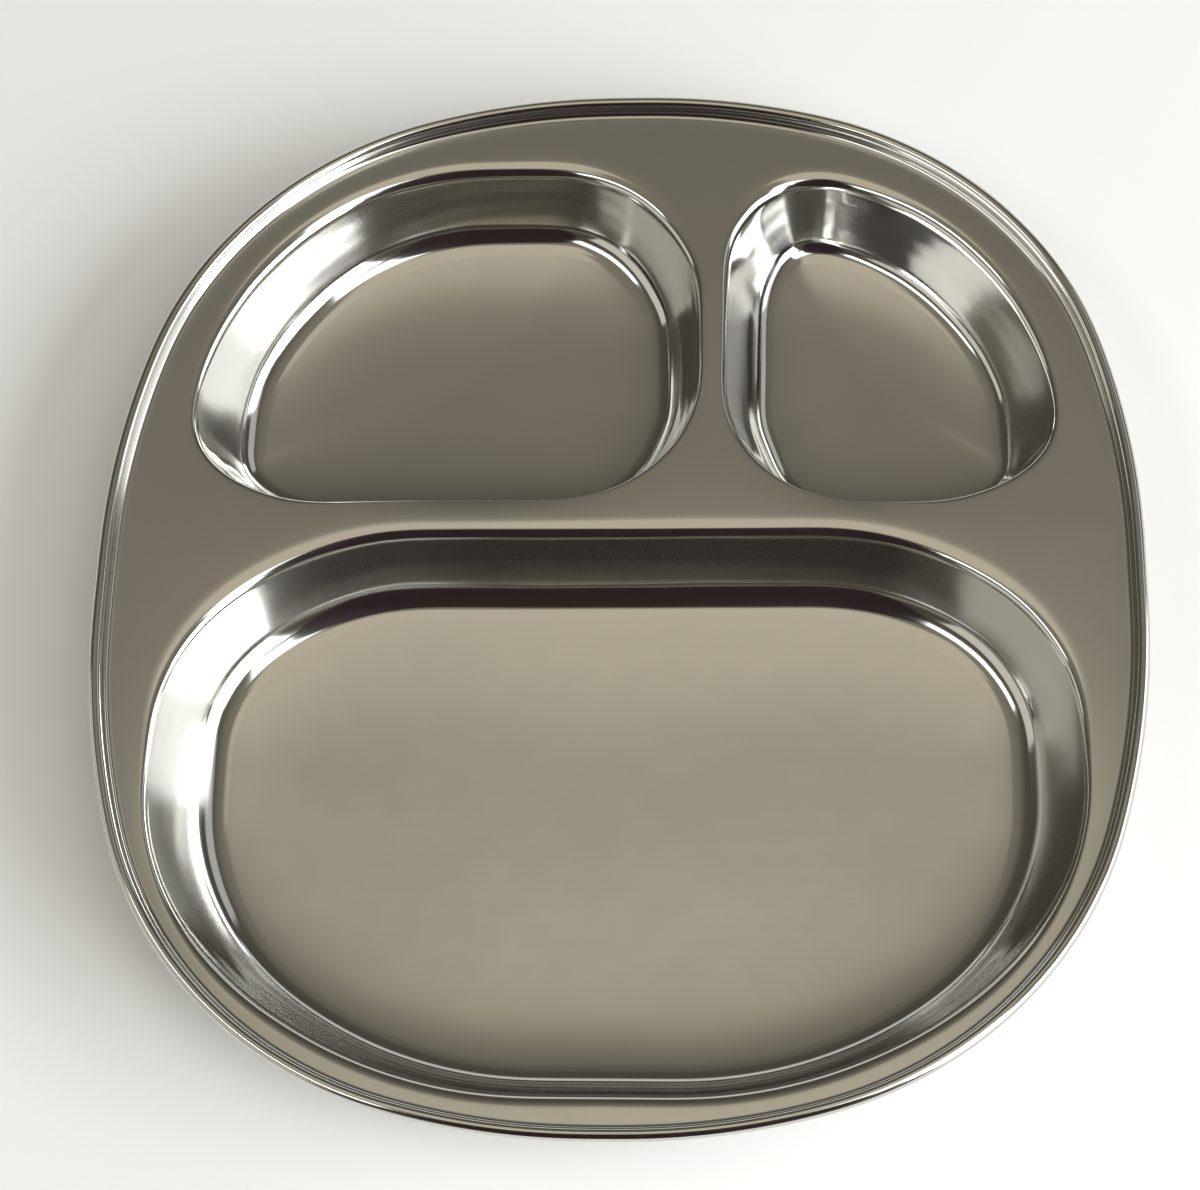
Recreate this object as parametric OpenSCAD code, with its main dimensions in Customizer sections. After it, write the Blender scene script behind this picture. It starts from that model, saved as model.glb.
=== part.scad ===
// Divided compartment plate. One sheet of stainless steel is pressed into three deep
// compartments below a flat deck, and its edge is turned up and rolled over into a bead.
// Millimetres, +Z up. The origin is on the table, under the middle of the plate, and +Y
// points from the large compartment to the two small ones.

/* [Plate] */
// Width over the rolled edge, left to right
plate_width = 225; // [205:1:245]
// Length over the rolled edge, front to back
plate_length = 247; // [225:1:270]
// Radius of the four corners, at the rolled edge
corner_radius = 88; // [80:1:93]
// Radius of the gently curved front and back, at the rolled edge
end_radius = 150; // [130:1:160]
// Radius of the gently curved left and right sides, at the rolled edge
side_radius = 180; // [150:1:200]
// Thickness of the sheet
sheet = 0.6; // [0.5:0.05:0.8]

/* [Rolled edge] */
// Diameter of the hollow bead
bead_diameter = 2.8; // [2.6:0.1:4]
// Height of the bead's middle above the deck
bead_rise = 2.2; // [1.8:0.1:4]
// Inside radius of the bend from the deck up to the bead
foot_radius = 1.4; // [0.4:0.1:1.7]

/* [Pressing] */
// Depth of the three compartments, from the deck to the floor
depth = 20.7; // [16:0.1:25]
// Radius of the bend from the deck into a compartment
mouth_radius = 3.5; // [2:0.25:4.5]
// Radius of the bend from a wall into the floor
floor_radius = 7.5; // [4:0.25:9]

/* [Dividers] */
// Place of the cross divider's front edge, measured back from the middle of the plate
cross_divider_y = 15.2; // [11:0.2:16]
// Width of the cross divider's flat top in front of the left compartment
cross_divider_width = 5.6; // [4.6:0.2:8]
// Place of the middle divider's left edge, measured right from the middle of the plate
middle_divider_x = 17.7; // [12:0.1:18.5]
// Width of the middle divider's flat top
middle_divider_width = 4.6; // [3:0.1:6]

/* [Large compartment] */
// Width of the deck beside the mouth, left and right, with the rolled edge
large_side_margin = 13.7; // [12:0.1:18]
// Width of the deck in front of the mouth, with the rolled edge
large_front_margin = 7.5; // [6.5:0.1:12]
// Radius where the back edge starts to turn forward
large_back_radius = 65; // [50:1:80]
// Radius of the shoulders at the back corners
large_shoulder_radius = 43; // [32:1:52]
// Radius of the sides, in front of the shoulders
large_side_radius = 67; // [62:1:80]
// Radius of the front edge
large_front_radius = 96; // [86:1:110]

/* [Left compartment] */
// Width of the deck to the left of the mouth, with the rolled edge
left_margin = 17.4; // [14:0.1:22]
// Width of the deck behind the mouth, with the rolled edge
left_back_margin = 15.1; // [13:0.1:20]
// Radius of the outer back corner, which follows the plate's corner
left_outer_radius = 63; // [54:1:64]
// Radius of the back corner by the middle divider
left_back_radius = 36; // [25:1:45]
// Radius of the front corner by the middle divider
left_front_radius = 33; // [25:1:45]
// Radius where the front edge starts to turn at the outer front corner
left_edge_radius = 38; // [30:1:43]
// Radius of the outer front corner
left_corner_radius = 20; // [17:0.25:21]

/* [Right compartment] */
// Width of the deck to the right of the mouth, with the rolled edge
right_margin = 17.3; // [15:0.1:22]
// Width of the deck behind the mouth, with the rolled edge
right_back_margin = 18.9; // [16:0.1:23]
// How far the front edge bows forward of the left compartment's front edge
right_bow = 0.9; // [0:0.1:2]
// Radius of the corner at the back
right_back_radius = 19; // [17:0.25:20.5]
// Radius of the outer side, which follows the plate's corner
right_outer_radius = 63; // [54:0.5:63.5]
// Radius of the outer front corner
right_corner_radius = 19; // [17:0.25:19.75]
// Radius where the front edge starts to turn at the outer front corner
right_edge_radius = 38; // [30:1:41]
// Radius of the front corner by the middle divider
right_front_radius = 31; // [22:1:40]
// Radius where the inner side starts to turn at the back
right_inner_radius = 40; // [30:1:80]

/* [Hidden] */
$fn = 96;
// Facets of the small bends across the sheet
bend_facets = 32;
// Overlap of a swept bend with the flat sheet that it runs into
lap = 1;
// A straight run shorter than this is left out
least_run = 0.000001;

// Tangents are set out with right triangles whose sides are whole numbers, 3-4-5, 7-24-25
// and 44-117-125, so that the centres and tangent points of the arcs fall on round numbers.
short_3 = 0.6;
long_4 = 0.8;
short_7 = 0.28;
long_24 = 0.96;
short_44 = 0.352;
long_117 = 0.936;

// A wall falls 117 for every 44 that it runs inward. Its upper side faces this way, in the
// cross-section where X points outward and Y points up.
wall_normal = [-long_117, short_44];
wall_length = (depth - (1 - short_44) * (mouth_radius + floor_radius)) / long_117;
wall_reach = long_117 * (mouth_radius + floor_radius) + short_44 * wall_length;
deck_z = sheet + depth;
bead_radius = bead_diameter / 2;
rim_reach = bead_diameter + foot_radius;
plate_height = deck_z + bead_rise + bead_radius;

// An outline is a list of sides, clockwise from the back. Each side has its outward
// normal, the length of its straight run, and the radius of the turn to the next side. The
// straight runs are what the turns leave over, and in each outline the turn with the least
// room gets no larger than its sides allow.
end_room = plate_width / 2 - short_7 * end_radius - (1 - long_24) * side_radius;
side_room = plate_length / 2 - (1 - long_24) * end_radius - short_7 * side_radius;
corner_turn = min(corner_radius, min(end_room, side_room) / (long_24 - short_7));
end_run = 2 * (end_room - (long_24 - short_7) * corner_turn);
side_run = 2 * (side_room - (long_24 - short_7) * corner_turn);
outer_start = [-end_run / 2, plate_length / 2];
outer_sides = [
    [[0, 1], end_run, end_radius],
    [[short_7, long_24], 0, corner_turn],
    [[long_24, short_7], 0, side_radius],
    [[1, 0], side_run, side_radius],
    [[long_24, -short_7], 0, corner_turn],
    [[short_7, -long_24], 0, end_radius],
    [[0, -1], end_run, end_radius],
    [[-short_7, -long_24], 0, corner_turn],
    [[-long_24, -short_7], 0, side_radius],
    [[-1, 0], side_run, side_radius],
    [[-long_24, short_7], 0, corner_turn],
    [[-short_7, long_24], 0, end_radius]
];

large_width = plate_width - 2 * large_side_margin;
large_length = plate_length / 2 - large_front_margin + cross_divider_y;
large_side_room = large_length - (1 - long_4) * (large_back_radius + large_front_radius)
    - long_4 * large_shoulder_radius;
large_side_turn = min(large_side_radius, large_side_room / long_4);
large_side_run = large_side_room - long_4 * large_side_turn;
large_back_run = large_width
    - 2 * (short_3 * large_back_radius + (1 - short_3) * large_shoulder_radius);
large_front_run = large_width
    - 2 * (short_3 * large_front_radius + (1 - short_3) * large_side_turn);
large_start = [-large_back_run / 2, cross_divider_y];
large_sides = [
    [[0, 1], large_back_run, large_back_radius],
    [[short_3, long_4], 0, large_shoulder_radius],
    [[1, 0], large_side_run, large_side_turn],
    [[short_3, -long_4], 0, large_front_radius],
    [[0, -1], large_front_run, large_front_radius],
    [[-short_3, -long_4], 0, large_side_turn],
    [[-1, 0], large_side_run, large_shoulder_radius],
    [[-short_3, long_4], 0, large_back_radius]
];

small_front_y = cross_divider_y + cross_divider_width;
left_x = left_margin - plate_width / 2;
left_back_y = plate_length / 2 - left_back_margin;
left_width = middle_divider_x - left_x;
left_length = left_back_y - small_front_y;
left_back_room = left_width - left_back_radius;
left_outer_room = left_length - (1 - long_4) * left_edge_radius - long_4 * left_corner_radius;
left_outer_turn = min(left_outer_radius, left_back_room, left_outer_room);
left_back_run = left_back_room - left_outer_turn;
left_outer_run = left_outer_room - left_outer_turn;
left_inner_run = left_length - left_back_radius - left_front_radius;
left_front_run = left_width - left_front_radius
    - short_3 * left_edge_radius - (1 - short_3) * left_corner_radius;
left_start = [left_x + left_outer_turn, left_back_y];
left_sides = [
    [[0, 1], left_back_run, left_back_radius],
    [[1, 0], left_inner_run, left_front_radius],
    [[0, -1], left_front_run, left_edge_radius],
    [[-short_3, -long_4], 0, left_corner_radius],
    [[-1, 0], left_outer_run, left_outer_turn]
];

right_x = middle_divider_x + middle_divider_width;
right_back_y = plate_length / 2 - right_back_margin;
right_width = plate_width / 2 - right_margin - right_x;
right_length = right_back_y - small_front_y + right_bow;
right_back_step = (1 - long_24) * right_inner_radius + long_24 * right_back_radius;
right_back_room = right_width - right_back_step - short_7 * right_back_radius;
right_outer_room = right_length - (1 - long_24) * right_back_radius
    - long_4 * right_corner_radius - (1 - long_4) * right_edge_radius;
right_outer_turn = min(right_outer_radius, right_back_room / (1 - short_7), right_outer_room / long_24);
right_back_run = right_back_room - (1 - short_7) * right_outer_turn;
right_outer_run = right_outer_room - long_24 * right_outer_turn;
right_front_run = right_width - right_front_radius
    - (1 - short_3) * right_corner_radius - short_3 * right_edge_radius;
right_inner_run = right_length - right_front_radius
    - short_7 * right_inner_radius - (1 - short_7) * right_back_radius;
right_start = [right_x + right_back_step, right_back_y];
right_sides = [
    [[0, 1], right_back_run, right_back_radius],
    [[short_7, long_24], 0, right_outer_turn],
    [[1, 0], right_outer_run, right_corner_radius],
    [[short_3, -long_4], 0, right_edge_radius],
    [[0, -1], right_front_run, right_front_radius],
    [[-1, 0], right_inner_run, right_inner_radius],
    [[-long_24, short_7], 0, right_back_radius]
];

compartments = [[large_sides, large_start], [left_sides, left_start], [right_sides, right_start]];

// Direction of travel along a side, clockwise round the outline
function travel(normal) = [normal[1], -normal[0]];

// Outward normal of the side after side i
function next_normal(sides, i) = sides[(i + 1) % len(sides)][0];

// For each side in turn: where its run starts, where it ends, and the centre of its turn
function set_out(sides, point, i = 0) =
    i == len(sides) ? [] :
    let (
        run_end = point + sides[i][1] * travel(sides[i][0]),
        centre = run_end - sides[i][2] * sides[i][0],
        next_point = centre + sides[i][2] * next_normal(sides, i)
    )
    concat([[point, run_end, centre]], set_out(sides, next_point, i + 1));

// Wedge between two directions from the middle of a turn or a bend
module wedge(reach, from, to) {
    polygon([[0, 0], reach * from, reach * (from + to), reach * to]);
}

// Part of a ring between two directions, as a bend of the sheet shows in cross-section
module bend(inner_radius, from, to) {
    intersection() {
        difference() {
            circle(inner_radius + sheet, $fn = bend_facets);
            circle(inner_radius, $fn = bend_facets);
        }
        wedge(2 * (inner_radius + sheet), from, to);
    }
}

// Cross-section of a compartment's wall: X is measured outward from the mouth's edge, and
// Y up from the top of the deck.
module wall_section() {
    mouth_centre = [0, -mouth_radius];
    wall_top = mouth_centre + mouth_radius * wall_normal;
    wall_foot = wall_top + wall_length * [-short_44, -long_117];
    floor_centre = wall_foot + floor_radius * wall_normal;
    translate([0, -sheet])
        square([lap, sheet]);
    translate(mouth_centre)
        bend(mouth_radius - sheet, [0, 1], wall_normal);
    polygon([wall_top, wall_foot, wall_foot - sheet * wall_normal, wall_top - sheet * wall_normal]);
    translate(floor_centre)
        bend(floor_radius, -wall_normal, [0, -1]);
    translate([floor_centre[0] - lap, -depth - sheet])
        square([lap, sheet]);
}

// Cross-section of the edge: X is measured outward from the outermost line of the bead,
// and Y up from the top of the deck. The bead curls out and down until it almost meets
// the upright that it springs from.
module rim_section() {
    curl_end = [-short_7, -long_24];
    translate([-rim_reach - lap, -sheet])
        square([lap, sheet]);
    translate([-rim_reach, foot_radius])
        bend(foot_radius, [0, -1], [1, 0]);
    translate([-bead_diameter, foot_radius])
        square([sheet, bead_rise - foot_radius]);
    translate([-bead_radius, bead_rise])
        difference() {
            circle(bead_radius, $fn = bend_facets);
            circle(bead_radius - sheet, $fn = bend_facets);
            wedge(bead_diameter, [-1, 0], curl_end);
        }
}

// Carries a cross-section round an outline at the height of the deck
module sweep_round(sides, start) {
    places = set_out(sides, start);
    for (i = [0 : len(sides) - 1]) {
        normal = sides[i][0];
        run = sides[i][1];
        radius = sides[i][2];
        if (run > least_run)
            multmatrix([
                [normal[0], 0, normal[1], places[i][0][0]],
                [normal[1], 0, -normal[0], places[i][0][1]],
                [0, 1, 0, deck_z]
            ])
                linear_extrude(run)
                    children();
        translate([places[i][2][0], places[i][2][1], 0])
            intersection() {
                translate([0, 0, deck_z])
                    rotate_extrude()
                        translate([radius, 0])
                            children();
                linear_extrude(2 * plate_height, center = true)
                    wedge(2 * radius, normal, next_normal(sides, i));
            }
    }
}

// The area inside an outline, moved outward by grow
module area_inside(sides, start, grow) {
    places = set_out(sides, start);
    polygon([
        for (i = [0 : len(sides) - 1])
            each [places[i][0] + grow * sides[i][0], places[i][1] + grow * sides[i][0]]
    ]);
    for (i = [0 : len(sides) - 1]) {
        normal = sides[i][0];
        next = next_normal(sides, i);
        radius = sides[i][2] + grow;
        translate(places[i][2])
            intersection() {
                circle(radius);
                polygon([
                    (radius - lap) * normal,
                    2 * radius * normal,
                    2 * radius * next,
                    (radius - lap) * next
                ]);
            }
    }
}

// One compartment: its wall all round, and its floor
module compartment(sides, start) {
    sweep_round(sides, start)
        wall_section();
    linear_extrude(sheet)
        area_inside(sides, start, -wall_reach - lap / 2);
}

// The flat deck between the compartments and the rolled edge
module deck() {
    translate([0, 0, depth])
        linear_extrude(sheet)
            difference() {
                area_inside(outer_sides, outer_start, -rim_reach - lap / 2);
                for (c = compartments)
                    area_inside(c[0], c[1], lap / 2);
            }
}

module pressed_plate() {
    color([0.76, 0.75, 0.71]) {
        deck();
        for (c = compartments)
            compartment(c[0], c[1]);
        sweep_round(outer_sides, outer_start)
            rim_section();
    }
}

pressed_plate();
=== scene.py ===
import math

import bpy
import numpy as np
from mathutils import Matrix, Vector
from mathutils.geometry import delaunay_2d_cdt


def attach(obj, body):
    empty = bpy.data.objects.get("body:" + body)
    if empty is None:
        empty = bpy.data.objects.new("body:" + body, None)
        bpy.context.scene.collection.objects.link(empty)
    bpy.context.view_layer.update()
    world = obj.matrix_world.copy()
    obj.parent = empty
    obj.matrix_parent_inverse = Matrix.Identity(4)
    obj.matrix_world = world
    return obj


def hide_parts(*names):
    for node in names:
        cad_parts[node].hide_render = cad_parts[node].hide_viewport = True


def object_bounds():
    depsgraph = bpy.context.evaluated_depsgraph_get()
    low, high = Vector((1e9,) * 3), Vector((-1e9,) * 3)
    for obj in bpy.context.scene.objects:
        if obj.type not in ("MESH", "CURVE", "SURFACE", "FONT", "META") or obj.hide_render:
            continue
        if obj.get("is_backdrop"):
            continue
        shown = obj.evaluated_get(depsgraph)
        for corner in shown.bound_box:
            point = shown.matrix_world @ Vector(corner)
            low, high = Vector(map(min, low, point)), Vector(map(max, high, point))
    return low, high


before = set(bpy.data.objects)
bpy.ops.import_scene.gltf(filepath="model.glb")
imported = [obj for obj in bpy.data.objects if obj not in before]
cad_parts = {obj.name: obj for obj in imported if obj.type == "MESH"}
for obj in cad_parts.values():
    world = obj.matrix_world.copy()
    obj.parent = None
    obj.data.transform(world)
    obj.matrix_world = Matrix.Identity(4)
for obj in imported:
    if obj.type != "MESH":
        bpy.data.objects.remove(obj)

bl_info = {
    "name": "Divided compartment plate",
    "version": (1, 0, 0),
    "blender": (4, 5, 0),
    "location": "3D View > Sidebar > Plate",
    "description": "Pressed stainless steel plate with three compartments and a rolled edge",
    "category": "Object",
}

CAD_LOW, CAD_HIGH = (np.array(corner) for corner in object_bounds())
MM = 0.001

# Right triangles with whole-number sides set out the tangents: 3-4-5, 7-24-25 and 44-117-125.
SHORT_3, LONG_4 = 0.6, 0.8
SHORT_7, LONG_24 = 0.28, 0.96
SHORT_44, LONG_117 = 0.352, 0.936


def linear(hex_colour):
    """sRGB hex to linear RGB: below 0.04045 a straight line, above it a power of 2.4."""
    srgb = np.array([int(hex_colour[i:i + 2], 16) / 255 for i in (1, 3, 5)])
    return tuple(float(v) for v in np.where(srgb <= 0.04045, srgb / 12.92, ((srgb + 0.055) / 1.055) ** 2.4))


def length(name, description, millimetres):
    """A size of the plate, given in millimetres and kept in metres."""
    return bpy.props.FloatProperty(name=name, description=description, default=millimetres * MM, min=0,
                                   precision=4, unit="LENGTH")


def angle(name, description, degrees):
    """An angle of the plate, given in degrees and kept in radians."""
    return bpy.props.FloatProperty(name=name, description=description, default=math.radians(degrees),
                                   unit="ROTATION")


def colour(name, description, hex_colour):
    """A colour that a user may change, given as sRGB hex."""
    return bpy.props.FloatVectorProperty(name=name, description=description, default=linear(hex_colour),
                                         size=3, min=0, max=1, subtype="COLOR")


def share(name, description, default, high=1.0):
    """A plain number from 0 to high."""
    return bpy.props.FloatProperty(name=name, description=description, default=default, min=0, max=high)


class PlateSizes(bpy.types.PropertyGroup):
    """The sizes of the sheet, as pressed and rolled."""
    plate_width: length("Width", "Left to right, over the rolled edge", (CAD_HIGH - CAD_LOW)[0] / MM)
    plate_length: length("Length", "Front to back, over the rolled edge", (CAD_HIGH - CAD_LOW)[1] / MM)
    corner_radius: length("Corner radius", "Radius of the plate's corners", 88)
    end_radius: length("End radius", "Radius of the gently curved front and back", 150)
    side_radius: length("Side radius", "Radius of the gently curved left and right sides", 180)
    sheet: length("Sheet", "Thickness of the sheet", 0.6)
    bead_diameter: length("Bead", "Diameter of the hollow bead", 2.8)
    bead_rise: length("Bead rise", "Height of the bead's middle above the deck", 2.2)
    foot_radius: length("Foot radius", "Radius of the bend from the deck up to the bead", 1.4)
    depth: length("Depth", "From the deck down to the compartment floors", 20.7)
    mouth_radius: length("Mouth radius", "Radius of the bend from the deck into a compartment", 3.5)
    lip_radius: length("Lip radius", "Wide start of the mouth bend", 5)
    lip_angle: angle("Lip angle", "Slope where the lip turns into the mouth bend", 20)
    lip_bend_radius: length("Lip bend radius", "Mouth bend below the lip", 3.2)
    knuckle_radius: length("Knuckle radius", "Wide start of the floor bend, at the wall's foot", 12)
    knuckle_angle: angle("Knuckle angle", "Slope where the knuckle ends", 53)
    floor_bend_radius: length("Floor bend radius", "Floor bend below the knuckle", 7.9)
    dish_angle: angle("Dish angle", "Slope of the floor where the bend ends", 12)
    dish_reach: length("Dish reach", "Distance over which the floor's slope dies away", 5.2)
    back_angle: angle("Back angle", "Part of that slope which reaches further, at the back", 6)
    back_reach: length("Back reach", "Distance over which that part dies away, towards the front", 14)
    crown_angle: angle("Crown angle", "Part of the floor's slope which reaches further, all round", 4)
    crown_reach: length("Crown reach", "Distance over which that part dies away", 14)
    left_tightness: share("Left tightness", "Left floor bend, as a share of the large one", 0.85)
    right_tightness: share("Right tightness", "Right floor bend, as a share of the large one", 0.62)
    lip_widening: share("Lip widening", "How much wider the lip is beside a broad deck", 0.7, 2)
    lip_tightening: share("Lip tightening", "How much narrower the mouth bend is at sides and fronts", 0.8)
    front_steepening: share("Front steepening", "How much less the small front walls reach inward", 0.12)
    wall_bow: angle("Wall bow", "Added to the wall's slope above its middle, taken off at its foot", 2.5)
    ring_height: length("Ring height", "Height of the faint rings that drawing leaves on the walls", 0.012)
    ring_pitch: length("Ring pitch", "Spacing of those rings, down the wall", 4.5)
    wall_wave: length("Wall wave", "Height of the waves along the walls", 0.06)
    floor_wave: length("Floor wave", "Height of the waves in the floors", 0.015)
    cross_divider_y: length("Cross divider", "Front edge of the cross divider, behind the middle", 15.2)
    cross_divider_width: length("Cross divider width", "Flat top in front of the left compartment", 5.6)
    middle_divider_x: length("Middle divider", "Left edge of the middle divider, right of the middle", 17.7)
    middle_divider_width: length("Middle divider width", "Flat top of the middle divider", 4.6)
    large_side_margin: length("Large side margin", "Deck beside the large mouth, with the edge", 13.7)
    large_front_margin: length("Large front margin", "Deck in front of the large mouth, with the edge", 7.5)
    large_back_radius: length("Large back radius", "Where the back edge starts to turn forward", 65)
    large_shoulder_radius: length("Large shoulder radius", "Shoulders at the back corners", 43)
    large_side_radius: length("Large side radius", "Sides in front of the shoulders", 67)
    large_front_radius: length("Large front radius", "Front edge of the large mouth", 96)
    left_margin: length("Left margin", "Deck to the left of the left mouth, with the edge", 17.4)
    left_back_margin: length("Left back margin", "Deck behind the left mouth, with the edge", 15.1)
    left_outer_radius: length("Left outer radius", "Outer back corner of the left mouth", 63)
    left_back_radius: length("Left back radius", "Back corner by the middle divider", 36)
    left_front_radius: length("Left front radius", "Front corner by the middle divider", 33)
    left_edge_radius: length("Left edge radius", "Where the front edge starts to turn", 38)
    left_corner_radius: length("Left corner radius", "Outer front corner of the left mouth", 20)
    right_margin: length("Right margin", "Deck to the right of the right mouth, with the edge", 17.3)
    right_back_margin: length("Right back margin", "Deck behind the right mouth, with the edge", 18.9)
    right_bow: length("Right bow", "Front edge forward of the left compartment's", 0.9)
    right_back_radius: length("Right back radius", "Corner at the back of the right mouth", 19)
    right_outer_radius: length("Right outer radius", "Outer side of the right mouth", 63)
    right_corner_radius: length("Right corner radius", "Outer front corner of the right mouth", 19)
    right_edge_radius: length("Right edge radius", "Where the front edge starts to turn", 38)
    right_front_radius: length("Right front radius", "Front corner by the middle divider", 31)
    right_inner_radius: length("Right inner radius", "Where the inner side starts to turn at the back", 40)


class PlateFinish(bpy.types.PropertyGroup):
    """The look of the steel."""
    steel: colour("Steel", "Stainless steel, seen straight on", "#d4d3cf")
    dulled: colour("Dulled steel", "Steel where its oxide skin is a little thicker", "#d0cfca")
    satin: share("Satin roughness", "Roughness of the deck and the compartment floors", 0.22)
    patchiness: share("Patchiness", "Change of the satin's roughness from patch to patch", 0.015)
    polish: share("Polished roughness", "Roughness of the walls, bends and rolled edge", 0.1)


class PlateStage(bpy.types.PropertyGroup):
    """Table, light and camera."""
    table: colour("Table", "Pale table top", "#fafaf8")
    key: share("Key", "Brightness of the large soft light at the right", 7.6, 100)
    high: share("High", "Brightness of the soft light high at the front right", 2.4, 100)
    bounce: share("Bounce", "Brightness of the dimmer light beside the key", 2.1, 100)
    back: share("Back", "Brightness of the dim light at the back right", 0.5, 100)
    top: share("Top", "Brightness of the soft light overhead", 0.4, 100)
    rear: share("Rear", "Brightness of the low soft light behind the plate", 0.6, 100)
    zenith: share("Zenith", "Brightness of the soft light straight above", 0.4, 100)
    side: share("Side", "Brightness of the dim light at the front left", 0.7, 100)
    fill: share("Fill", "Brightness of the small soft light high at the front left", 3.0, 100)
    room: share("Room", "Brightness of the room overhead", 0.27, 100)
    lens: bpy.props.FloatProperty(name="Lens", description="Focal length", default=96, unit="CAMERA")
    eye: bpy.props.FloatVectorProperty(name="Eye", description="Place of the camera", subtype="XYZ",
                                       unit="LENGTH", default=(0.03967, -0.30269, 0.63470))
    turn: bpy.props.FloatVectorProperty(name="Turn", description="Turn of the camera", subtype="EULER",
                                        unit="ROTATION",
                                        default=tuple(math.radians(a) for a in (26.08656, 3.36790, 1.34296)))


def eased(x, low=0.0, high=1.0):
    """0 at low and before it, 1 at high and beyond, with a smooth step between. Low may be the larger
    one."""
    x = np.clip((x - low) / (high - low), 0, 1)
    return x * x * (3 - 2 * x)


def wave(turns):
    """The sine of a number of whole turns."""
    return np.sin(2 * math.pi * turns)


def fading(slope, reach, distance):
    """Height of a floor whose slope dies away: reach * tan(slope) * exp(-distance / reach)."""
    return reach * math.tan(slope) * np.exp(-distance / reach)


# Outlines

def plate_outline(s):
    """Start and sides of the plate's edge, clockwise from the back. A side is its outward normal, its
    straight run and the radius of the turn to the next side; the runs are what the turns leave over."""
    corner_step = (LONG_24 - SHORT_7) * s.corner_radius
    end_run = s.plate_width - 2 * (SHORT_7 * s.end_radius + corner_step + (1 - LONG_24) * s.side_radius)
    side_run = s.plate_length - 2 * ((1 - LONG_24) * s.end_radius + corner_step + SHORT_7 * s.side_radius)
    quarter = [((0, 1), end_run, s.end_radius), ((SHORT_7, LONG_24), 0, s.corner_radius),
               ((LONG_24, SHORT_7), 0, s.side_radius), ((1, 0), side_run, s.side_radius),
               ((LONG_24, -SHORT_7), 0, s.corner_radius), ((SHORT_7, -LONG_24), 0, s.end_radius)]
    half_turned = [((-normal[0], -normal[1]), run, radius) for normal, run, radius in quarter]
    return (-end_run / 2, s.plate_length / 2), quarter + half_turned


def large_outline(s):
    """Start and sides of the large mouth, the same left and right."""
    width = s.plate_width - 2 * s.large_side_margin
    depth = s.plate_length / 2 - s.large_front_margin + s.cross_divider_y
    back_run = width - 2 * (SHORT_3 * s.large_back_radius + (1 - SHORT_3) * s.large_shoulder_radius)
    front_run = width - 2 * (SHORT_3 * s.large_front_radius + (1 - SHORT_3) * s.large_side_radius)
    side_run = (depth - (1 - LONG_4) * (s.large_back_radius + s.large_front_radius)
                - LONG_4 * (s.large_shoulder_radius + s.large_side_radius))
    return (-back_run / 2, s.cross_divider_y), [
        ((0, 1), back_run, s.large_back_radius), ((SHORT_3, LONG_4), 0, s.large_shoulder_radius),
        ((1, 0), side_run, s.large_side_radius), ((SHORT_3, -LONG_4), 0, s.large_front_radius),
        ((0, -1), front_run, s.large_front_radius), ((-SHORT_3, -LONG_4), 0, s.large_side_radius),
        ((-1, 0), side_run, s.large_shoulder_radius), ((-SHORT_3, LONG_4), 0, s.large_back_radius)]


def left_outline(s):
    """Start and sides of the left mouth, whose outer back corner follows the plate's corner."""
    left = s.left_margin - s.plate_width / 2
    back = s.plate_length / 2 - s.left_back_margin
    width = s.middle_divider_x - left
    depth = back - s.cross_divider_y - s.cross_divider_width
    front_run = (width - s.left_front_radius - SHORT_3 * s.left_edge_radius
                 - (1 - SHORT_3) * s.left_corner_radius)
    outer_run = (depth - s.left_outer_radius - (1 - LONG_4) * s.left_edge_radius
                 - LONG_4 * s.left_corner_radius)
    return (left + s.left_outer_radius, back), [
        ((0, 1), width - s.left_outer_radius - s.left_back_radius, s.left_back_radius),
        ((1, 0), depth - s.left_back_radius - s.left_front_radius, s.left_front_radius),
        ((0, -1), front_run, s.left_edge_radius), ((-SHORT_3, -LONG_4), 0, s.left_corner_radius),
        ((-1, 0), outer_run, s.left_outer_radius)]


def right_outline(s):
    """Start and sides of the right mouth, whose outer side follows the plate's corner."""
    left = s.middle_divider_x + s.middle_divider_width
    back = s.plate_length / 2 - s.right_back_margin
    width = s.plate_width / 2 - s.right_margin - left
    depth = back - s.cross_divider_y - s.cross_divider_width + s.right_bow
    back_step = (1 - LONG_24) * s.right_inner_radius + LONG_24 * s.right_back_radius
    back_run = width - back_step - SHORT_7 * s.right_back_radius - (1 - SHORT_7) * s.right_outer_radius
    outer_run = (depth - (1 - LONG_24) * s.right_back_radius - LONG_24 * s.right_outer_radius
                 - LONG_4 * s.right_corner_radius - (1 - LONG_4) * s.right_edge_radius)
    front_run = (width - s.right_front_radius - (1 - SHORT_3) * s.right_corner_radius
                 - SHORT_3 * s.right_edge_radius)
    inner_run = (depth - s.right_front_radius - SHORT_7 * s.right_inner_radius
                 - (1 - SHORT_7) * s.right_back_radius)
    return (left + back_step, back), [
        ((0, 1), back_run, s.right_back_radius), ((SHORT_7, LONG_24), 0, s.right_outer_radius),
        ((1, 0), outer_run, s.right_corner_radius), ((SHORT_3, -LONG_4), 0, s.right_edge_radius),
        ((0, -1), front_run, s.right_front_radius), ((-1, 0), inner_run, s.right_inner_radius),
        ((-LONG_24, SHORT_7), 0, s.right_back_radius)]


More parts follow.
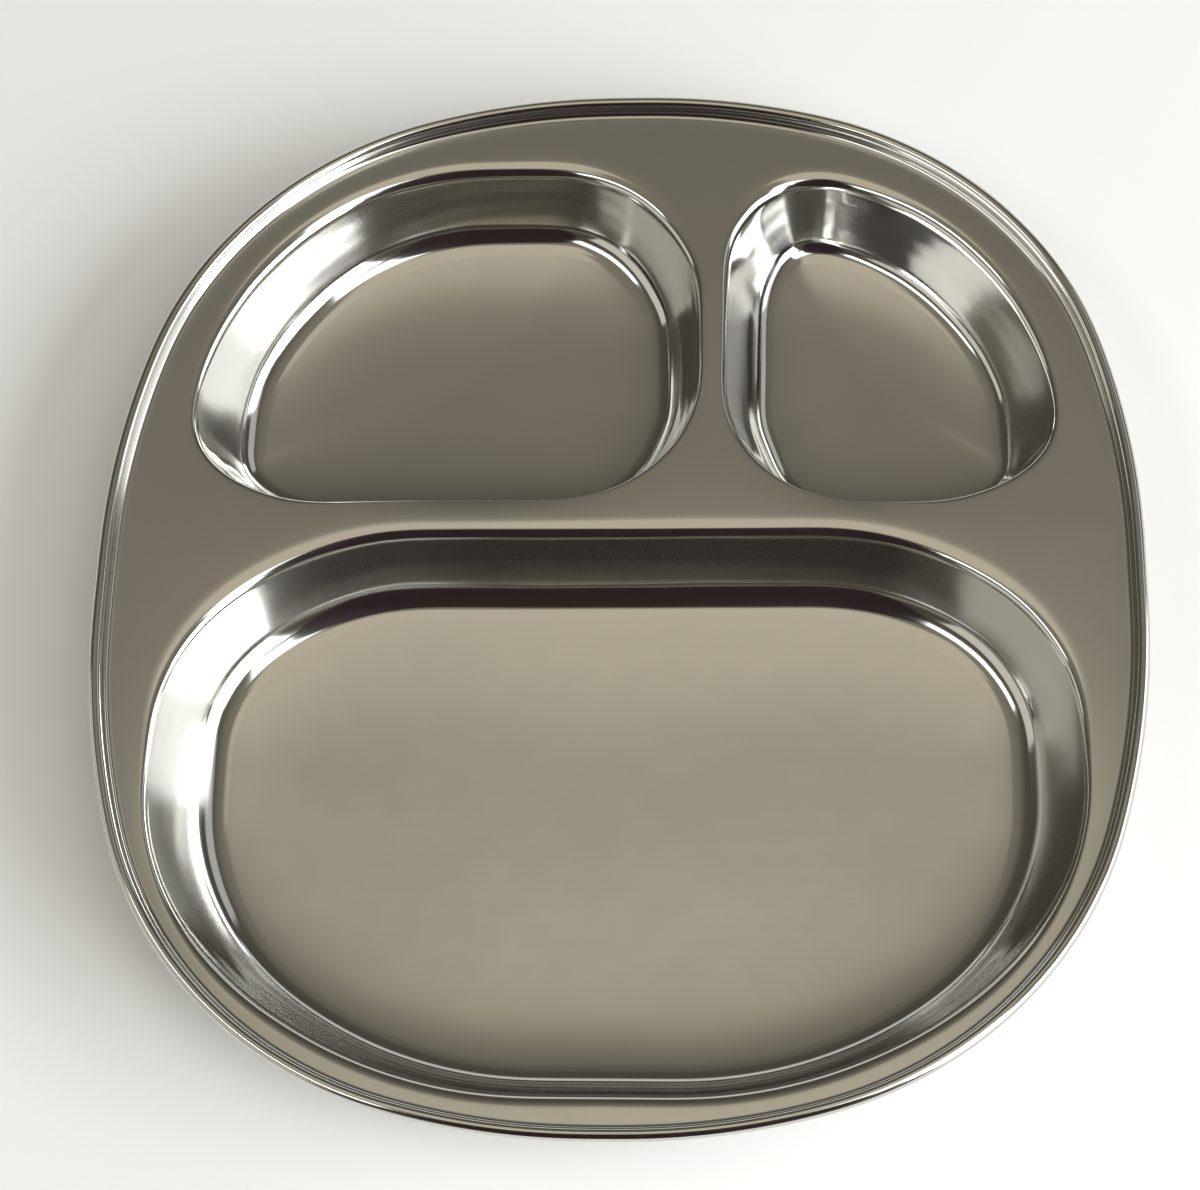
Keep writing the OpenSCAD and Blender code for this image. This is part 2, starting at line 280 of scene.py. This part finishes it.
def traced(outline, blend=5 * MM, spacing=3.5 * MM, turn=math.radians(6)):
    """Points, outward unit normals and share of the way round, along an outline. A run is start + t *
    ahead. A turn of radius r is centre + r * (cos a, sin a), with a falling from this side's normal to the
    next one's. The line is then taken apart into waves round the outline, and waves of about the blend's
    length and less are damped, so that the runs ease into the turns as bent sheet does."""
    fine = 0.2 * MM
    point, sides = np.array(outline[0]), outline[1]
    line = []
    for i, (normal, run, radius) in enumerate(sides):
        normal, following = np.array(normal), np.array(sides[(i + 1) % len(sides)][0])
        ahead = np.array((normal[1], -normal[0]))
        line.append(point + np.arange(0, run, fine)[:, None] * ahead)
        centre = point + run * ahead - radius * normal
        bend = math.acos(np.dot(normal, following))
        a = math.atan2(normal[1], normal[0]) - np.arange(0, bend, fine / radius)
        line.append(centre + radius * np.stack((np.cos(a), np.sin(a)), 1))
        point = centre + radius * following
    line = np.concatenate(line + [line[0][:1]])
    along = np.concatenate(([0], np.cumsum(np.linalg.norm(np.diff(line, axis=0), axis=1))))
    count = round(along[-1] / fine)
    even = np.linspace(0, along[-1], count, endpoint=False)
    turning = 2 * math.pi * np.fft.fftfreq(count, along[-1] / count)
    kept = np.exp(-0.5 * (turning * blend) ** 2)
    waves = np.fft.fft(np.interp(even, along, line[:, 0]) + 1j * np.interp(even, along, line[:, 1]))
    waves *= kept * (2 - kept)
    smooth, ahead = np.fft.ifft(waves), np.fft.ifft(1j * turning * waves)
    normal = 1j * ahead / np.abs(ahead)
    rows = np.cumsum(np.abs(np.angle(np.roll(normal, -1) / normal)) / turn + fine / spacing)
    picked = np.searchsorted(rows, np.linspace(0, rows[-1], math.ceil(rows[-1]), endpoint=False))
    return (np.stack((smooth.real, smooth.imag), 1)[picked], np.stack((normal.real, normal.imag), 1)[picked],
            even[picked] / along[-1])


def smoothed(values, way, reach=0.025):
    """Mean of the values round an outline, weighted with a bell curve whose reach is a share of the way."""
    gap = np.abs(way[:, None] - way[None])
    spacing = (np.roll(way, -1) - np.roll(way, 1)) % 1
    bell = np.exp(-0.5 * (np.minimum(gap, 1 - gap) / reach) ** 2) * spacing[None]
    return bell @ values / bell.sum(1)


# Cross-sections of the sheet's upper side

def wall_section(s, tightness, lead=0.45 * MM, tail=1.0 * MM, ease=0.4 * MM, step=0.01 * MM):
    """The wall's section, along the line from the deck down to the floor: reach inward from the mouth's
    edge, drop below the deck, slope, and how far outward a wider lip, a narrower mouth bend and a wall
    moved as a whole bring each point. The slope rises along a wide lip and the mouth bend, stays along the
    wall but for a little bow, falls along a wide knuckle and the floor bend, whose radii the tightness
    scales, and then dies away over the floor. It is smoothed with a bell curve, as the sheet eases into
    each bend, and the line is the sum of its steps. The wall's middle lies where a plain mouth bend would
    put it."""
    wall_angle = math.atan2(LONG_117, SHORT_44)
    upper, foot = wall_angle + s.wall_bow, wall_angle - s.wall_bow
    slopes = np.array((0, s.lip_angle, upper, upper, foot, s.knuckle_angle, s.dish_angle))
    radii = np.array((s.lip_radius, s.lip_bend_radius, 0, 0,
                      s.knuckle_radius * tightness, s.floor_bend_radius * tightness))
    bends = np.abs(np.diff(slopes)) * radii
    drops = np.abs(np.diff(np.cos(slopes))) * radii
    dish = s.dish_reach * math.tan(s.dish_angle)
    bends[2:4] = (s.depth - dish - drops.sum()) / LONG_117 / 2
    knots = lead + np.concatenate(([0], np.cumsum(bends)))
    along = np.arange(0, knots[-1] + tail, step)
    slope = np.interp(along, knots, slopes)
    slope *= np.exp(-np.maximum(along - knots[-1], 0) / s.dish_reach)
    bell = np.exp(-0.5 * (np.arange(-4 * ease, 4 * ease, step) / ease) ** 2)
    padded = np.pad(slope, len(bell) // 2, mode="edge")
    slope = np.convolve(padded, bell / bell.sum(), "same")[len(bell) // 2:][:len(along)]
    reach = np.cumsum(np.cos(slope)) * step
    drop = np.cumsum(np.sin(slope)) * step
    drop *= (s.depth - s.dish_reach * math.tan(slope[-1])) / drop[-1]
    top, middle = np.searchsorted(along, knots[2:4])
    plain_drop = drop[middle] - s.mouth_radius * (1 - SHORT_44)
    reach += s.mouth_radius * LONG_117 + plain_drop * SHORT_44 / LONG_117 - reach[middle]
    lip_end = math.radians(45)
    lip = np.where(along < along[middle], eased(slope, lip_end, 0) * np.cos(slope), 0)
    wider = np.cumsum(lip[::-1])[::-1] * step
    shifted = np.minimum(reach, reach[top]) - reach[0]
    narrower = shifted * eased(drop, drop[-1], drop[top])
    # The rows are close where the sheet bends and down the ringed wall.
    row_turn, ringed_row, plain_row, ringed_slope = math.radians(5), 0.9 * MM, 2.5 * MM, math.radians(50)
    spacing = np.where(slope > ringed_slope, ringed_row, plain_row)
    rows = np.cumsum(np.abs(np.gradient(slope)) / row_turn + step / spacing)
    picked = np.interp(np.linspace(rows[0], rows[-1], math.ceil(rows[-1]) + 1), rows, np.arange(len(rows)))
    lines = reach, drop, slope, wider, narrower, shifted
    return tuple(np.interp(picked, np.arange(len(rows)), line) for line in lines)


def rim_section(s, lead=0.15 * MM, clearance=0.03 * MM, step=math.radians(9)):
    """Reach inward from the plate's outermost line, rise above the deck, and the normal (outward, up), from
    the deck through the foot bend and the upright, and round the bead until it almost meets the upright
    again. The clearance keeps the smoothed edge inside the solid's box."""
    bead = s.bead_diameter / 2
    foot = np.linspace(-math.pi / 2, 0, math.ceil(math.pi / 2 / step) + 1)
    curl_end = math.atan2(-LONG_24, -SHORT_7)
    under = np.linspace(0, curl_end, math.ceil(-curl_end / step / 2) + 1)
    curl = np.concatenate((np.arange(math.pi, 0, -step), under))
    inner = s.bead_diameter + s.foot_radius
    out = np.concatenate(([-lead - inner], s.foot_radius * np.cos(foot) - inner, bead * np.cos(curl) - bead))
    out -= clearance
    up = np.concatenate(([0], s.foot_radius * (1 + np.sin(foot)), s.bead_rise + bead * np.sin(curl)))
    normal_out = np.concatenate(([0], -np.cos(foot), np.cos(curl)))
    normal_up = np.concatenate(([1], -np.sin(foot), np.sin(curl)))
    return -out, up, normal_out, normal_up


# Mesh

def strip_faces(around, across, first, outward):
    """Quads of a closed strip with vertices first + u * across + v, facing up, where v runs outward or
    inward."""
    u, v = np.meshgrid(np.arange(around), np.arange(across - 1), indexing="ij")
    here, there = first + u * across + v, first + (u + 1) % around * across + v
    order = (here, there, there + 1, here + 1) if outward else (here, here + 1, there + 1, there)
    return np.stack(order, -1).reshape(-1, 4)


def inside(loop, points):
    """True for the points inside a closed loop, by counting the loop's edges to their right."""
    x, y = points[:, :1], points[:, 1:]
    x0, y0 = loop.T
    x1, y1 = np.roll(loop, -1, 0).T
    crosses = (y0 > y) != (y1 > y)
    rise = np.where(y1 == y0, 1, y1 - y0)
    return (crosses & (x < x0 + (x1 - x0) * (y - y0) / rise)).sum(1) % 2 == 1


class SheetMesh:
    """Collects the upper side of the sheet: places, unit normals, polish and faces."""

    def __init__(self):
        self.places, self.normals, self.polish, self.faces, self.count = [], [], [], [], 0

    def add(self, places, normals, polish):
        """Adds vertices and returns the index of the first."""
        first = self.count
        self.places.append(places.reshape(-1, 3))
        self.normals.append(normals.reshape(-1, 3))
        self.polish.append(polish.reshape(-1))
        self.count += len(self.places[-1])
        return first


def wall_in_plan(trace, neighbours, section, small, s, narrow_deck=5 * MM, broad_deck=12 * MM,
                 divider=6 * MM, open_deck=9 * MM):
    """Wall seen from above: outline point + outward * outline normal, where outward is first of all minus
    the section's reach. The lip is wider where the neighbours are far, and the mouth bend is narrower at
    the sides and the front. In a small compartment, the wall at the front and along the dividers is moved
    outward as a whole, and the front is steeper. Drawing leaves waves round the outline and faint rings
    that wander a little in height."""
    points, normals, way = trace
    reach, drop, slope, wider, narrower, shifted = section
    # The normal's part towards the back is 1 at the back of the outline and -1 at its front.
    backward = normals[:, 1]
    not_back, not_front = eased(backward, 0.6, -0.3), eased(backward, -0.95, -0.05)
    front = eased(backward, -0.2, -0.8)
    room = np.linalg.norm(points[:, None] - neighbours[None], axis=-1).min(1)
    wide = s.lip_widening * smoothed(eased(room, narrow_deck, broad_deck), way)
    tight = s.lip_tightening * smoothed(not_back * np.maximum(not_front, small), way)
    moved = small * smoothed(np.maximum(eased(room, open_deck, divider), front), way)
    steeper = small * s.front_steepening * smoothed(front, way)
    # Waves are given by their number round the outline and their start.
    swell = wave(9 * way + 0.2) + 0.3 * wave(23 * way + 0.7)
    drift = 0.4 * wave(3 * way + 0.1)
    around = (wide, tight, moved, steeper, swell, drift)
    wide, tight, moved, steeper, swell, drift = (values[:, None] for values in around)
    rings = s.ring_height * wave(drop / s.ring_pitch + drift) * eased(np.degrees(slope), 45, 65)
    outward = wide * wider - reach + s.wall_wave * swell * np.sin(slope) ** 2 + rings
    outward += tight * (moved * shifted + (1 - moved) * narrower) + steeper * (reach - reach[0])
    return points[:, None] + outward[..., None] * normals[:, None]


def add_compartment(mesh, trace, neighbours, tightness, s, floor_rows=16, spread=0.06):
    """Wall: the section carried round the outline, at the deck's height - drop. Floor: lines from the
    wall's last row to the middle. The slope at the wall's end dies away in three parts: a dish close to the
    wall, a crown further from it, and a lift at the back that fades towards the front. The floor waves a
    little, as pressed sheet does, and only upwards. Returns the indices of the row on the deck."""
    points, normals, way = trace
    section = wall_section(s, tightness)
    drop, slope = section[1:3]
    around = len(points)
    wall = np.empty((around, len(drop), 3))
    wall[..., :2] = wall_in_plan(trace, neighbours, section, tightness < 1, s)
    ring = wall[:, -1]
    back = ring[:, 1].max()
    lift = fading(s.back_angle, s.back_reach, back - ring[:, 1])
    crown_reach = s.crown_reach * tightness
    crown = fading(s.crown_angle, crown_reach, 0)
    dish = s.dish_reach * (math.tan(slope[-1]) - math.tan(s.crown_angle)
                           - lift / s.back_reach * np.maximum(normals[:, 1], 0))
    wall[..., 2] = s.sheet + s.depth - drop * (s.depth - dish - lift - crown)[:, None] / drop[-1]
    middle = np.array((*ring[:, :2].mean(0), s.sheet))
    t = np.linspace(0, 1, floor_rows + 1)[None, 1:-1] ** 2
    floor = ring[:, None] + t[..., None] * (middle - ring[:, None])
    off = t * smoothed(np.sum((ring[:, :2] - middle[:2]) * normals, 1), way, spread)[:, None]
    near = np.exp(-off / s.dish_reach)
    # Two slanting waves, with their lengths along x and y in millimetres.
    x, y = floor[..., 0] / MM, floor[..., 1] / MM
    swell = 2 + wave(x / 61 + y / 97) + wave(y / 53 - x / 89 + 0.3)
    level = 1 - t ** 2
    floor[..., 2] = (s.sheet + level ** 2 * (dish[:, None] * near + fading(s.crown_angle, crown_reach, off))
                     + level * (fading(s.back_angle, s.back_reach, back - floor[..., 1])
                                + s.floor_wave * swell * (1 - near) ** 2))
    places = np.concatenate((wall, floor), 1)
    across = places.shape[1]
    facing = np.cross(np.gradient(places, axis=1), np.roll(places, -1, 0) - np.roll(places, 1, 0))
    facing /= np.linalg.norm(facing, axis=-1, keepdims=True)
    facing[:, 0] = 0, 0, 1
    # The satin ends where the sheet starts to slope, from 2 to 14 degrees.
    polish = np.zeros((around, across))
    polish[:, :len(slope)] = eased(np.degrees(slope), 2, 14)
    first = mesh.add(places, facing, polish)
    mesh.faces.append(strip_faces(around, across, first, outward=False))
    pole = mesh.add(middle[None], np.array([[0.0, 0.0, 1.0]]), np.zeros(1))
    row = first + np.arange(around) * across
    last = row + across - 1
    mesh.faces.append(np.stack((last, np.full(around, pole), np.roll(last, -1)), -1))
    return row


def add_rim(mesh, trace, s):
    """Rolled edge: outline point - reach * outline normal, at the deck's height + rise. Returns the indices
    of the row on the deck and of the row at the end of the curl."""
    points, normals, _ = trace
    reach, rise, normal_out, normal_up = rim_section(s)
    around, across = len(points), len(reach)
    places = np.empty((around, across, 3))
    places[..., :2] = points[:, None] - reach[None, :, None] * normals[:, None]
    places[..., 2] = s.sheet + s.depth + rise
    facing = np.empty_like(places)
    facing[..., :2] = normal_out[None, :, None] * normals[:, None]
    facing[..., 2] = normal_up
    polish = np.repeat(eased(rise, 0, 0.1 * s.foot_radius)[None], around, 0)
    first = mesh.add(places, facing, polish)
    mesh.faces.append(strip_faces(around, across, first, outward=True))
    row = first + np.arange(around) * across
    return row, row + across - 1


def add_deck(mesh, rim_row, mouth_rows):
    """Flat deck between the edge's row and the mouths' rows: the triangles of a Delaunay net over those
    rows that lie outside the mouths."""
    places = np.concatenate(mesh.places)
    loops = [rim_row] + mouth_rows
    rows = np.concatenate(loops)
    edges, start = [], 0
    for loop in loops:
        index = start + np.arange(len(loop))
        edges.append(np.stack((index, np.roll(index, -1)), 1))
        start += len(loop)
    flat = places[rows, :2]
    smallest_gap = 1e-9
    corners = [Vector(place) for place in flat.tolist()]
    net = delaunay_2d_cdt(corners, np.concatenate(edges).tolist(), [], 0, smallest_gap)
    origin = np.array([sources[0] for sources in net[3]])
    triangles = origin[np.array(net[2])]
    centres = flat[triangles].mean(1)
    keep = ~np.any([inside(places[row, :2], centres) for row in mouth_rows], 0)
    triangles = rows[triangles[keep]]
    a, b, c = (places[triangles[:, i], :2] for i in range(3))
    turn = (b[:, 0] - a[:, 0]) * (c[:, 1] - a[:, 1]) - (b[:, 1] - a[:, 1]) * (c[:, 0] - a[:, 0])
    mesh.faces.append(np.where(turn[:, None] > 0, triangles, triangles[:, ::-1]))


def sheet_object(name, mesh, curl_row, thickness):
    """Closes the sheet: the under side is the upper one moved by the thickness against its normals, with
    its faces turned, and a narrow strip joins the two at the end of the curl."""
    upper = np.concatenate(mesh.places)
    count = len(upper)
    places = np.concatenate((upper, upper - thickness * np.concatenate(mesh.normals)))
    polish = np.tile(np.concatenate(mesh.polish), 2)
    following = np.roll(curl_row, -1)
    end = np.stack((curl_row, following, following + count, curl_row + count), -1)
    sides = mesh.faces + [faces[:, ::-1] + count for faces in mesh.faces] + [end]
    data = bpy.data.meshes.new(name)
    sizes = np.concatenate([np.full(len(faces), faces.shape[1]) for faces in sides])
    data.vertices.add(len(places))
    data.vertices.foreach_set("co", places.astype(np.float32).ravel())
    data.loops.add(int(sizes.sum()))
    indices = np.concatenate([faces.ravel() for faces in sides])
    data.loops.foreach_set("vertex_index", indices.astype(np.int32))
    data.polygons.add(len(sizes))
    data.polygons.foreach_set("loop_start", (np.cumsum(sizes) - sizes).astype(np.int32))
    data.update(calc_edges=True)
    if data.validate():
        raise RuntimeError(f"{name}: the mesh has broken faces")
    data.shade_smooth()
    pairs = np.empty(len(data.edges) * 2, np.int32)
    data.edges.foreach_get("vertices", pairs)
    at_end = np.zeros(len(places), bool)
    at_end[curl_row] = at_end[curl_row + count] = True
    sharp = data.attributes.new("sharp_edge", "BOOLEAN", "EDGE")
    sharp.data.foreach_set("value", at_end[pairs.reshape(-1, 2)].all(1))
    data.attributes.new("polish", "FLOAT", "POINT").data.foreach_set("value", polish.astype(np.float32))
    piece = bpy.data.objects.new(name, data)
    bpy.context.scene.collection.objects.link(piece)
    return piece


# Materials

def node(tree, kind, links=(), **settings):
    """Adds a node, sets its values (an input by its name, else a property) and links its inputs."""
    made = tree.nodes.new(kind)
    for key, value in settings.items():
        socket = made.inputs.get(key.replace("_", " "))
        if socket is None:
            setattr(made, key, value)
        else:
            socket.default_value = value
    for target, source in links:
        tree.links.new(source, made.inputs[target])
    return made


def pressed_stainless(finish):
    """Cold-rolled stainless steel, pressed. The flats keep the satin of the rolled sheet, with fine lines
    along the rolling direction; the walls, bends and bead are drawn over the die and polished to a mirror
    that waves a little."""
    material = bpy.data.materials.new("stainless_steel_pressed_and_polished")
    material.use_nodes = True
    tree = material.node_tree
    tree.nodes.clear()
    place = node(tree, "ShaderNodeTexCoord").outputs["Object"]
    shine = node(tree, "ShaderNodeAttribute", attribute_name="polish").outputs["Fac"]
    # Rolling lines, about 0.5 mm apart and 60 mm long. The real ones are finer, too fine to show.
    lines_at = node(tree, "ShaderNodeMapping", [("Vector", place)], Scale=(1 / 60, 2.0, 2.0)).outputs[0]
    lines = node(tree, "ShaderNodeTexNoise", [("Vector", lines_at)], Scale=1000.0, Detail=2.0, Roughness=0.6)
    # Mottling of the satin, patches of about 9 mm.
    mottle = node(tree, "ShaderNodeTexNoise", [("Vector", place)], Scale=1000 / 9, Detail=3.0, Roughness=0.55)
    uneven = node(tree, "ShaderNodeMath", [(0, lines.outputs["Fac"]), (1, mottle.outputs["Fac"])],
                  operation="ADD")
    satin = node(tree, "ShaderNodeMapRange", [("Value", uneven.outputs[0])], From_Min=0.6, From_Max=1.4,
                 To_Min=finish.satin - finish.patchiness, To_Max=finish.satin + finish.patchiness)
    rough = node(tree, "ShaderNodeMapRange", [("Value", shine), ("To Min", satin.outputs["Result"])],
                 To_Max=finish.polish)
    # The die wipes the rolling lines off the walls and bends.
    flats = node(tree, "ShaderNodeMapRange", [("Value", shine)], To_Min=0.5, To_Max=0.0)
    # Waves of the drawn walls, about 24 mm long and a few microns high.
    waves = node(tree, "ShaderNodeTexNoise", [("Vector", place)], Scale=1000 / 24, Detail=1.0, Roughness=0.4)
    waved = node(tree, "ShaderNodeBump", [("Height", waves.outputs["Fac"])], Strength=1.0, Distance=0.00004)
    grain = node(tree, "ShaderNodeBump", [("Height", lines.outputs["Fac"]), ("Normal", waved.outputs[0]),
                                          ("Strength", flats.outputs["Result"])], Distance=0.000002)
    # The oxide skin dulls the sheet in faint patches.
    tone = node(tree, "ShaderNodeMix", [(0, mottle.outputs["Fac"])], data_type="RGBA")
    tone.inputs[6].default_value = (*finish.steel, 1)
    tone.inputs[7].default_value = (*finish.dulled, 1)
    shader = node(tree, "ShaderNodeBsdfPrincipled", [("Base Color", tone.outputs[2]),
                                                     ("Normal", grain.outputs[0]),
                                                     ("Roughness", rough.outputs["Result"])], Metallic=1.0)
    node(tree, "ShaderNodeOutputMaterial", [("Surface", shader.outputs[0])])
    return material


def matt_card(name, tone):
    """Plain matt card or table top: a diffuse surface with no shine."""
    material = bpy.data.materials.new(name)
    material.use_nodes = True
    tree = material.node_tree
    tree.nodes.clear()
    shader = node(tree, "ShaderNodeBsdfDiffuse", Color=(*tone, 1))
    node(tree, "ShaderNodeOutputMaterial", [("Surface", shader.outputs[0])])
    return material


# Stage

def stage_card(name, corners, material):
    """A flat card on the stage, given by its corners in metres."""
    data = bpy.data.meshes.new(name)
    data.from_pydata([tuple(c) for c in corners], [], [tuple(range(len(corners)))])
    data.materials.append(material)
    card = bpy.data.objects.new(name, data)
    bpy.context.scene.collection.objects.link(card)
    card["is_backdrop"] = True
    return card


def seen_at(bearing, elevation, distance):
    """Place at a bearing from +X towards +Y and an elevation, both in degrees, and a distance in metres."""
    flat, up = math.radians(bearing), math.radians(elevation)
    return distance * Vector((math.cos(up) * math.cos(flat), math.cos(up) * math.sin(flat), math.sin(up)))


def soft_light(name, place, aim, size, radiance, tint):
    """A rectangular soft light of a given brightness, turned to face a point."""
    width, height = size
    lamp = bpy.data.lights.new(name, "AREA")
    lamp.shape = "RECTANGLE"
    lamp.size, lamp.size_y = width, height
    lamp.energy = radiance * math.pi * width * height
    lamp.color = tint
    light = bpy.data.objects.new(name, lamp)
    light.location = place
    light.visible_camera = False
    light.rotation_euler = (aim - place).to_track_quat("-Z", "Y").to_euler()
    bpy.context.scene.collection.objects.link(light)
    return light


class PLATE_OT_sheet(bpy.types.Operator):
    """Press the sheet: compartments, deck and rolled edge"""
    bl_idname = "plate.sheet"
    bl_label = "Pressed sheet"

    def execute(self, context):
        sizes, finish = context.scene.plate_sizes, context.scene.plate_finish
        mesh = SheetMesh()
        edge = traced(plate_outline(sizes), spacing=2.7 * MM, turn=math.radians(4.6))
        foot = edge[0] - (sizes.bead_diameter + sizes.foot_radius) * edge[1]
        traces = [traced(outline(sizes)) for outline in (large_outline, left_outline, right_outline)]
        mouths = []
        for trace, tightness in zip(traces, (1, sizes.left_tightness, sizes.right_tightness)):
            neighbours = np.concatenate([foot] + [other[0] for other in traces if other is not trace])
            mouths.append(add_compartment(mesh, trace, neighbours, tightness, sizes))
        deck_row, curl_row = add_rim(mesh, edge, sizes)
        add_deck(mesh, deck_row, mouths)
        piece = sheet_object("plate_sheet", mesh, curl_row, sizes.sheet)
        piece.data.materials.append(pressed_stainless(finish))
        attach(piece, "root")
        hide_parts("pressed_plate")
        return {"FINISHED"}


class PLATE_OT_stage(bpy.types.Operator):
    """Set the table, the soft lights and the camera"""
    bl_idname = "plate.stage"
    bl_label = "Table, light and camera"

    def execute(self, context):
        scene, stage = context.scene, context.scene.plate_stage
        table = matt_card("table_top_matt", stage.table)
        # A little below the floors, so that the two don't share a plane.
        table_top = -0.2 * MM
        stage_card("table", [(x, y, table_top) for x, y in ((-2, -2), (2, -2), (2, 2), (-2, 2))], table)
        # A dark oval in front of the plate, which only its mirrors see.
        dark = matt_card("flag_cloth_dark", linear("#3c2e31"))
        turn = np.linspace(0, 2 * math.pi, 48, endpoint=False)[:, None]
        centre, across, upward = np.array(((0, -0.53, 0.55), (0.32, 0, 0), (0, 0.23, 0.5)))
        flag = stage_card("front_flag", centre + np.cos(turn) * across + np.sin(turn) * upward, dark)
        flag.visible_camera = flag.visible_diffuse = flag.visible_shadow = False
        warm, pale, cool = (1, 0.91, 0.72), (1, 0.96, 0.88), (0.95, 0.975, 1)
        plate, above, zenith = Vector((0, 0, 0)), Vector((-0.04, 0.15, 0)), Vector((-0.05, -0.1, 0))
        up = Vector((0, 0, 1.6))
        # Each light has its place, the point it faces, its width and height, its brightness and its tint.
        soft_light("key_soft_light", seen_at(-26, 26, 1.8), plate, (1.4, 1.1), stage.key, cool)
        soft_light("high_soft_light", seen_at(-45, 60, 1.7), plate, (0.8, 0.8), stage.high, cool)
        soft_light("bounce_soft_light", seen_at(9, 22, 1.65), plate, (0.86, 1.0), stage.bounce, cool)
        soft_light("back_soft_light", seen_at(39, 35, 1.7), plate, (0.9, 0.55), stage.back, cool)
        soft_light("fill_soft_light", seen_at(205, 55, 1.65), plate, (1.3, 0.3), stage.fill, cool)
        soft_light("side_soft_light", seen_at(195, 25, 1.6), plate, (2.05, 0.66), stage.side, pale)
        soft_light("rear_soft_light", seen_at(92, 11, 2.0), plate, (2.6, 0.6), stage.rear, cool)
        soft_light("top_soft_light", above + up, above, (0.64, 1.0), stage.top, warm)
        soft_light("zenith_soft_light", zenith + up, zenith, (0.9, 0.5), stage.zenith, warm)
        world = bpy.data.worlds.new("room")
        world.use_nodes = True
        tree = world.node_tree
        background = tree.nodes["Background"]
        # The room is bright overhead, dark where its walls are, and lighter again along the horizon.
        sky = node(tree, "ShaderNodeTexCoord").outputs["Generated"]
        height = node(tree, "ShaderNodeSeparateXYZ", [("Vector", sky)]).outputs["Z"]
        level = node(tree, "ShaderNodeValToRGB", [("Fac", height)])
        level.color_ramp.interpolation = "EASE"
        steps = level.color_ramp.elements
        steps[0].position, steps[1].position = 0.12, 0.98
        for position in (0.28, 0.6):
            steps.new(position)
        for step, bright in zip(steps, (1.0, 0.3, 0.35, 1.0)):
            step.color = (*(bright * part for part in warm), 1)
        tree.links.new(level.outputs["Color"], background.inputs["Color"])
        background.inputs["Strength"].default_value = stage.room
        scene.world = world
        lens = bpy.data.cameras.new("camera")
        lens.lens = stage.lens
        lens.sensor_width = 36
        camera = bpy.data.objects.new("camera", lens)
        camera.location = stage.eye
        camera.rotation_euler = stage.turn
        scene.collection.objects.link(camera)
        scene.camera = camera
        scene.view_settings.view_transform = "Standard"
        return {"FINISHED"}


class PLATE_PT_panel(bpy.types.Panel):
    """Lists the plate's operators and values in the sidebar"""
    bl_idname = "PLATE_PT_panel"
    bl_label = "Divided compartment plate"
    bl_space_type = "VIEW_3D"
    bl_region_type = "UI"
    bl_category = "Plate"

    def draw(self, context):
        for operator in (PLATE_OT_sheet, PLATE_OT_stage):
            self.layout.operator(operator.bl_idname)
        for group in (context.scene.plate_sizes, context.scene.plate_finish, context.scene.plate_stage):
            column = self.layout.column()
            for name in group.__annotations__:
                column.prop(group, name)


GROUPS = {"plate_sizes": PlateSizes, "plate_finish": PlateFinish, "plate_stage": PlateStage}
CLASSES = (*GROUPS.values(), PLATE_OT_sheet, PLATE_OT_stage, PLATE_PT_panel)


def register():
    for made in CLASSES:
        bpy.utils.register_class(made)
    for name, group in GROUPS.items():
        setattr(bpy.types.Scene, name, bpy.props.PointerProperty(type=group))


def unregister():
    for name in GROUPS:
        delattr(bpy.types.Scene, name)
    for made in reversed(CLASSES):
        bpy.utils.unregister_class(made)


def main():
    """Registers the classes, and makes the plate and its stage."""
    register()
    bpy.ops.plate.sheet()
    bpy.ops.plate.stage()
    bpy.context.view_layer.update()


if __name__ == "__main__":
    main()
